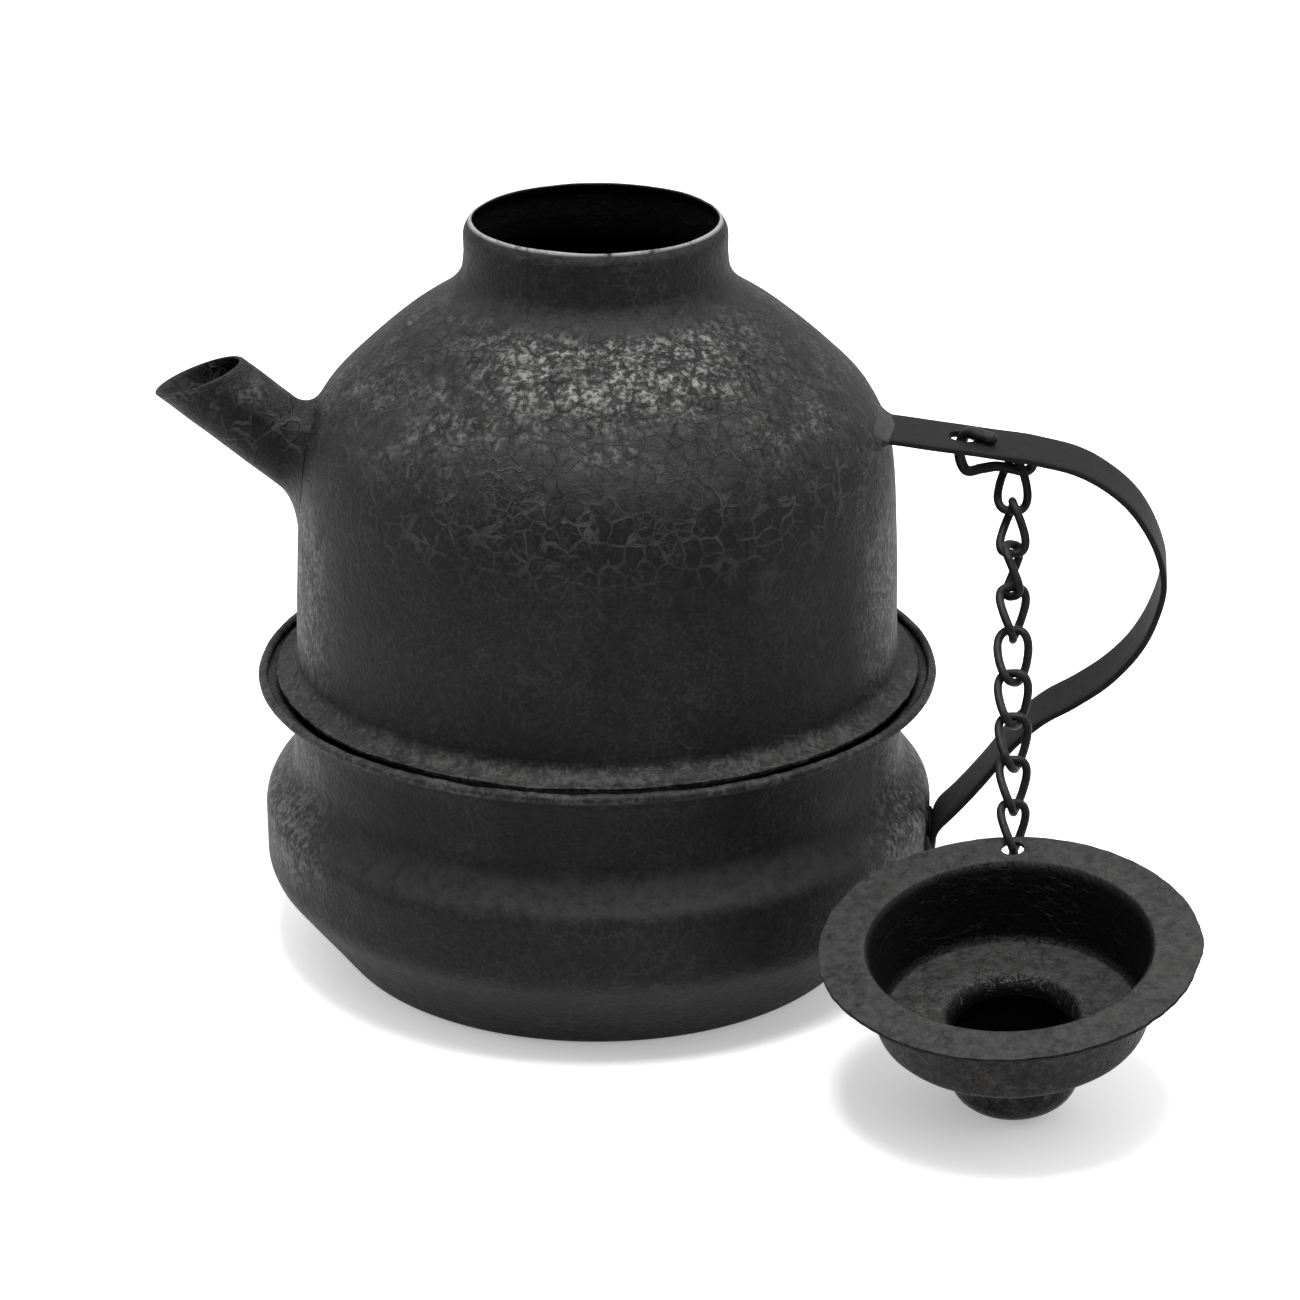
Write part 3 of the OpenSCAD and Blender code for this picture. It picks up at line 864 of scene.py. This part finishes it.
def make_foot_weld():
    """A bead up one edge of the foot, round its blunt point and down the other."""
    half = STRAP_W / 2
    corners = [(half - 0.1, 33.5), (half - 0.1, 30.5), (half - 1.6, 28.0), (half * 0.5, 26.0), (0, 25.3),
               (-half * 0.5, 26.0), (-half + 1.6, 28.0), (-half + 0.1, 30.5), (-half + 0.1, 33.5)]
    path = []
    for across, z in resample(curve(corners, 6), 0.6):
        x = math.sqrt(BULGE_R ** 2 - across ** 2) + 0.45
        path.append(turn_handle((x, across, z)))
    path = np.array(path)
    count = len(path)

    def radius(i, p):
        ends = min(1.0, 0.35 + min(i, count - 1 - i) / 6)
        return ends * (1.05 + 0.3 * rough(p, 2.6, 9.1))

    return tube("strap_foot_weld", path, radius, 12, refs=[turn_handle((1, 0, 0))] * count)


place_piece(make_foot_weld(), "root", "weld_black", weld_black, "handle_foot_braze")

# ---------------------------------------------------------------- chain


def hook_place(p):
    """From the hook's own axes to the row's."""
    c, s = math.cos(STRAP_SLOPE), math.sin(STRAP_SLOPE)
    return turn_handle((c * p[0] + s * p[2], p[1], c * p[2] - s * p[0])) + HOOK_HOLE


hook_points = [(7.2, -3.6, 1.75), (4, -2.2, 1.75), (1.3, -0.7, 1.5), (0, 0, -0.6), (0, 0, -5),
               (2.2, 0, -8.5), (5.8, 0, -7.4), (9.4, 0, -6.3), (13.2, 0, -6.4), (16.2, 0, -6.6),
               (17.7, 0, -5.2), (17.6, 0, -3.6)]
hook_path = [hook_place(p) for p in curve(hook_points, 8)]


def hook_radius(i, p):
    """Thick at its top end and first bend, and thinner where the first link hangs."""
    part = i / (len(hook_path) - 1)
    thinner = HOOK_THINNING * min(1.0, part / 0.6)
    return HOOK_R * (HOOK_SWELL - thinner + 0.06 * rough(p, 2.5, 1.1))


hook = tube("hook", hook_path, hook_radius, 16, refs=[turn_handle((0, 1, 0))] * len(hook_path))
place_piece(hook, "hook", "chain_black", chain_black, "chain_hook")

hang = JOINTS["link_1_swing"]
web = JOINTS["cap_swing"]
run = web - hang
link_overlap = 2 * WIRE_R + RUN_GAP
hook_overlap = WIRE_R + HOOK_R + RUN_GAP
web_slack = WIRE_R + 1.9
link_half_l = (np.linalg.norm(run) + web_slack + hook_overlap + 8 * link_overlap) / 18
link_pitch = 2 * link_half_l - link_overlap
link_up = -run / np.linalg.norm(run)
link_side = np.array([1, 0, 0]) - link_up[0] * link_up
link_side /= np.linalg.norm(link_side)
link_back = np.cross(link_up, link_side)


def soft_power(v):
    return math.copysign(abs(v) ** (2 / LINK_SQUARENESS), v)


def make_link(i):
    steps = 96
    centre = hang - (link_half_l - hook_overlap + i * link_pitch) * link_up
    spin = math.radians(LINK_SPINS[i])
    path, refs = [], []
    for k in range(steps):
        turn = 2 * math.pi * k / steps
        x, z = LINK_HALF_W * soft_power(math.cos(turn)), link_half_l * soft_power(math.sin(turn))
        a = spin - LINK_TWIST * z / (2 * link_half_l)
        path.append(centre + x * math.cos(a) * link_side + x * math.sin(a) * link_back + z * link_up)
        refs.append(-math.sin(a) * link_side + math.cos(a) * link_back)

    def radius(k, p):
        return WIRE_R * (WIRE_SWELL + 0.025 * rough(p, 2.2, 1 + i))

    return tube(f"link_{i + 1}", path, radius, 14, True, refs)


for i in range(len(LINK_SPINS)):
    place_piece(make_link(i), f"link_{i + 1}", "chain_black", chain_black, f"chain_link_{i + 1}")

# ---------------------------------------------------------------- cap

tilt = (Matrix.Rotation(CAP_TILT[1], 3, "Y") @ Matrix.Rotation(CAP_TILT[0], 3, "X"))


def cap_place(p):
    return np.array(tilt @ Vector(p)) + (CAP_XY[0], CAP_XY[1], CAP_Z)


hole_xy = BRIM_HOLE_R * np.array([math.cos(BRIM_HOLE_TURN), math.sin(BRIM_HOLE_TURN)])


def cap_shape(p):
    """Uneven brim: slightly wavy, out of round, with a bent corner on the right and a lip round the hole."""
    r = math.hypot(p[0], p[1])
    a = math.atan2(p[1], p[0])
    q = np.array(p, float)
    brim = clamp((r - MOUTH_R) / (BRIM_R - MOUTH_R))
    bent = math.exp(-((a - BRIM_BEND_TURN) / BRIM_BEND_WIDTH) ** 2)
    push = brim * (0.35 * rough((3 * math.cos(a), 3 * math.sin(a), 1), 1.2, 3.9) + 0.7 * bent
                   + 0.25 * rough((p[0], p[1], 0), 3.2, 7.1))
    q[:2] *= 1 + push / max(r, 1)
    q[2] += brim * (0.3 * rough((2 * math.cos(a), 2 * math.sin(a), 5), 1.1, 8.8) - 0.6 * bent)
    if brim > 0:
        from_hole = math.hypot(p[0] - hole_xy[0], p[1] - hole_xy[1])
        lip = math.exp(-((from_hole - BRIM_HOLE_D / 2 - 0.9) / 0.7) ** 2)
        q[2] += 0.22 * lip * (1 if p[2] > -0.5 else 0.4)
    q += 0.1 * np.array([q[0], q[1], 0]) / max(r, 1) * rough(p, 9, 2.9)
    return q


cap_face = (arc((MOUTH_R + 1, -1), 1, 90, 180, 5) + arc((MOUTH_R - 4.3, -CAP_DEPTH + 3), 3, 0, -90, 8)
            + curve([(KNOB_R + 5, -CAP_DEPTH), (KNOB_R + 1.8, -CAP_DEPTH - 0.15),
                     (KNOB_R - 0.2, -CAP_DEPTH - 1.3), (KNOB_R - 0.9, -CAP_DEPTH - 3.2)], 5))
cap_face = resample([(BRIM_R - 0.4, 0)] + cap_face, 0.8)
cap = revolve("cap", sheet_outline(cap_face, -SHEET, True, False), 360, cap_shape, cap_place)
hole_centre = cap_place((hole_xy[0], hole_xy[1], 0))
cut(cap, bore(hole_centre, np.array(tilt @ Vector((0, 0, 1))), BRIM_HOLE_D / 2, 8, 48))
place_piece(cap, "cap", "cap_paint", cap_paint, "cap_shell")

knob_face = ([(0, -KNOB_DEPTH)]
             + arc((KNOB_R - KNOB_ROUND, -KNOB_DEPTH + KNOB_ROUND), KNOB_ROUND, -90, 0, 14)
             + [(KNOB_R, -CAP_DEPTH - SHEET - 0.02)])
knob_outline = sheet_outline(resample(knob_face, 1.0), SHEET, False, False)
knob = revolve("cap_knob_shell", knob_outline, 160, None, cap_place)
place_piece(knob, "cap", "cap_paint", cap_paint, "cap_knob")

under = -CAP_DEPTH - SHEET
weld_outline = ([(KNOB_R - 0.3, under + 0.3)] + arc((KNOB_R + 2, under - 2), 2, 90, 180, 6)
                + [(KNOB_R - 0.3, under - 2)])
knob_weld = revolve("cap_knob_weld", weld_outline, 160, None, cap_place)
place_piece(knob_weld, "cap", "cap_paint", cap_paint, "cap_knob_braze")

# ---------------------------------------------------------------- stage, camera and lights

FLOOR_HALF_M = 9.0
FLOOR_TONE = 0.86
FLOOR_GLOW = 0.32
SKY_TOWARDS = (0, 0.25, 0.968)
SKY_RANGE = (-0.05, 0.95)
SKY_STRENGTH = (0.1, 1.5)

floor_corners = [(x * FLOOR_HALF_M, y * FLOOR_HALF_M, 0) for x, y in ((-1, -1), (1, -1), (1, 1), (-1, 1))]
floor_mesh = bpy.data.meshes.new("floor")
floor_mesh.from_pydata(floor_corners, [], [(0, 1, 2, 3)])
floor = bpy.data.objects.new("floor", floor_mesh)
floor.location.z = -0.0001
bpy.context.scene.collection.objects.link(floor)
white = bpy.data.materials.new("floor_white")
white.use_nodes = True
for socket, value in (("Base Color", (FLOOR_TONE, FLOOR_TONE, FLOOR_TONE, 1)), ("Roughness", 0.9),
                      ("Emission Color", (1, 1, 1, 1)), ("Emission Strength", FLOOR_GLOW),
                      ("Specular IOR Level", 0.1)):
    white.node_tree.nodes["Principled BSDF"].inputs[socket].default_value = value
floor_mesh.materials.append(white)

world = bpy.data.worlds.new("studio")
world.use_nodes = True
sky = world.node_tree
direction = sky.nodes.new("ShaderNodeTexCoord")
aim = sky.nodes.new("ShaderNodeVectorMath")
aim.operation = "DOT_PRODUCT"
aim.inputs[1].default_value = SKY_TOWARDS
sky.links.new(direction.outputs["Generated"], aim.inputs[0])
fade = sky.nodes.new("ShaderNodeMapRange")
fade.interpolation_type = "SMOOTHSTEP"
for socket, value in (("From Min", SKY_RANGE[0]), ("From Max", SKY_RANGE[1]),
                      ("To Min", SKY_STRENGTH[0]), ("To Max", SKY_STRENGTH[1])):
    fade.inputs[socket].default_value = value
sky.links.new(aim.outputs["Value"], fade.inputs["Value"])
sky.links.new(fade.outputs["Result"], sky.nodes["Background"].inputs["Strength"])
sky.nodes["Background"].inputs["Color"].default_value = (1, 1, 1, 1)
bpy.context.scene.world = world
bpy.context.scene.view_settings.view_transform = "Standard"

TARGET = Vector((13.1, 0, 77.0)) * MM
PITCH = math.radians(22.32)
DISTANCE = 1036.6 * MM
LENS = 114.2
SENSOR = 36


def area_light(name, place, aim, size, power, size_y=None):
    data = bpy.data.lights.new(name, "AREA")
    data.energy = power
    data.shape = "RECTANGLE"
    data.size = size
    data.size_y = size_y or size
    light = bpy.data.objects.new(name, data)
    light.location = place
    light.rotation_euler = (Vector(aim) - Vector(place)).to_track_quat("-Z", "Y").to_euler()
    bpy.context.scene.collection.objects.link(light)


area_light("top_soft", (0.05, -0.35, 1.25), (0, -0.02, 0.1), 0.45, 20)
area_light("left_soft", (-1.3, 0.1, 0.5), (0, 0, 0.08), 0.8, 4)
area_light("right_soft", (1.3, 0.1, 0.5), (0, 0, 0.08), 0.8, 4)

camera_data = bpy.data.cameras.new("camera")
camera_data.lens = LENS
camera_data.sensor_width = SENSOR
camera_data.clip_start = 0.01
camera = bpy.data.objects.new("camera", camera_data)
camera.location = TARGET + DISTANCE * Vector((0, -math.cos(PITCH), math.sin(PITCH)))
camera.rotation_euler = (TARGET - camera.location).to_track_quat("-Z", "Y").to_euler()
bpy.context.scene.collection.objects.link(camera)
bpy.context.scene.camera = camera
